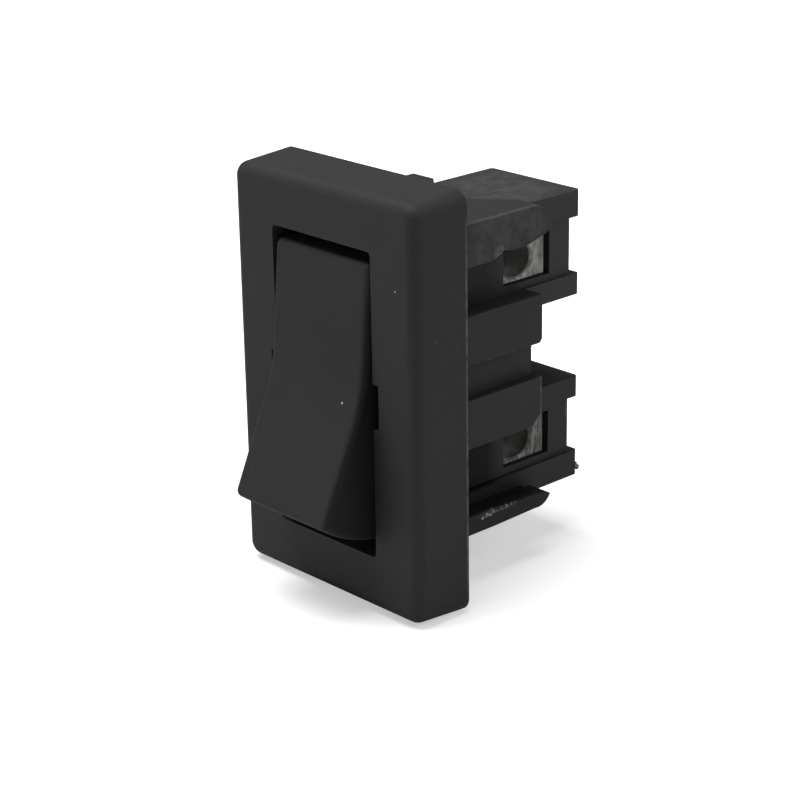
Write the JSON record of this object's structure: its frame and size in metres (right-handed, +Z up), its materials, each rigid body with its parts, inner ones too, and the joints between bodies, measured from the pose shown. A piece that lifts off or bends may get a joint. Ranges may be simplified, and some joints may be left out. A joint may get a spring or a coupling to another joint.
{
  "type": "recessed rocker switch",
  "caption": "Small black rocker switch with a rectangular bezel, pushed into a panel cut-out, with screw terminals behind that take wires from the side.",
  "frame": {"origin": "middle of the panel cut-out, in the bezel's back plane, which lies against the panel", "axes": "+Z up along the bezel's length, +Y into the panel, so the front faces -Y, and +X to the right seen from the front"},
  "size_m": [0.0174, 0.024, 0.0287],
  "materials": {
    "housing_black": "moulded, finely textured",
    "rocker_black": "moulded, finely textured",
    "base_black": "moulded, plain",
    "plunger_plastic": "moulded, smooth",
    "spring_steel": "drawn wire",
    "nickel_block": "dull nickel plate",
    "screw_steel": "zinc plate",
    "strip_brass": "stamped",
    "blade_copper": "stamped",
    "contact_silver": "silver alloy, plain"
  },
  "bodies": {
    "housing": {"bezel_housing": "housing_black", "contact_base": "base_black", "upper_terminal_block": "nickel_block", "lower_terminal_block": "nickel_block", "upper_strip_rivet": "strip_brass", "lower_strip_rivet": "strip_brass", "fulcrum_strip": "strip_brass", "fixed_contact_strip": "strip_brass", "fixed_contact": "contact_silver"},
    "rocker": {"rocker": "rocker_black", "plunger_spring": "spring_steel"},
    "plunger": {"plunger": "plunger_plastic"},
    "contact_blade": {"contact_blade": "blade_copper", "moving_contact": "contact_silver"},
    "upper_screw": {"upper_terminal_screw": "screw_steel"},
    "lower_screw": {"lower_terminal_screw": "screw_steel"}
  },
  "joints": [
    {"name": "rocker_pivot", "type": "hinge", "parent": "housing", "child": "rocker", "pos_m": [0, -0.0028, 0], "axis": [1, 0, 0], "range_deg": [0, 29.2]},
    {"name": "plunger_slide", "type": "slide", "parent": "rocker", "child": "plunger", "axis": [0, 0.9677, -0.2521], "range_m": [-0.0006, 0], "stiffness_N_per_m": 20, "springref_m": 0.002, "deforming": ["plunger_spring"]},
    {"name": "blade_pivot", "type": "hinge", "parent": "housing", "child": "contact_blade", "pos_m": [0, 0.00498, 0], "axis": [1, 0, 0], "range_deg": [-12, 0]},
    {"name": "upper_screw_turn", "type": "hinge", "parent": "housing", "child": "upper_screw", "pos_m": [0, 0.0125, 0.0065], "axis": [0, 1, 0], "continuous": true},
    {"name": "lower_screw_turn", "type": "hinge", "parent": "housing", "child": "lower_screw", "pos_m": [0, 0.0125, -0.0065], "axis": [0, 1, 0], "continuous": true}
  ],
  "couplings": [
    {"joint": "blade_pivot", "follows": "rocker_pivot", "ratio": -0.41096}
  ]
}
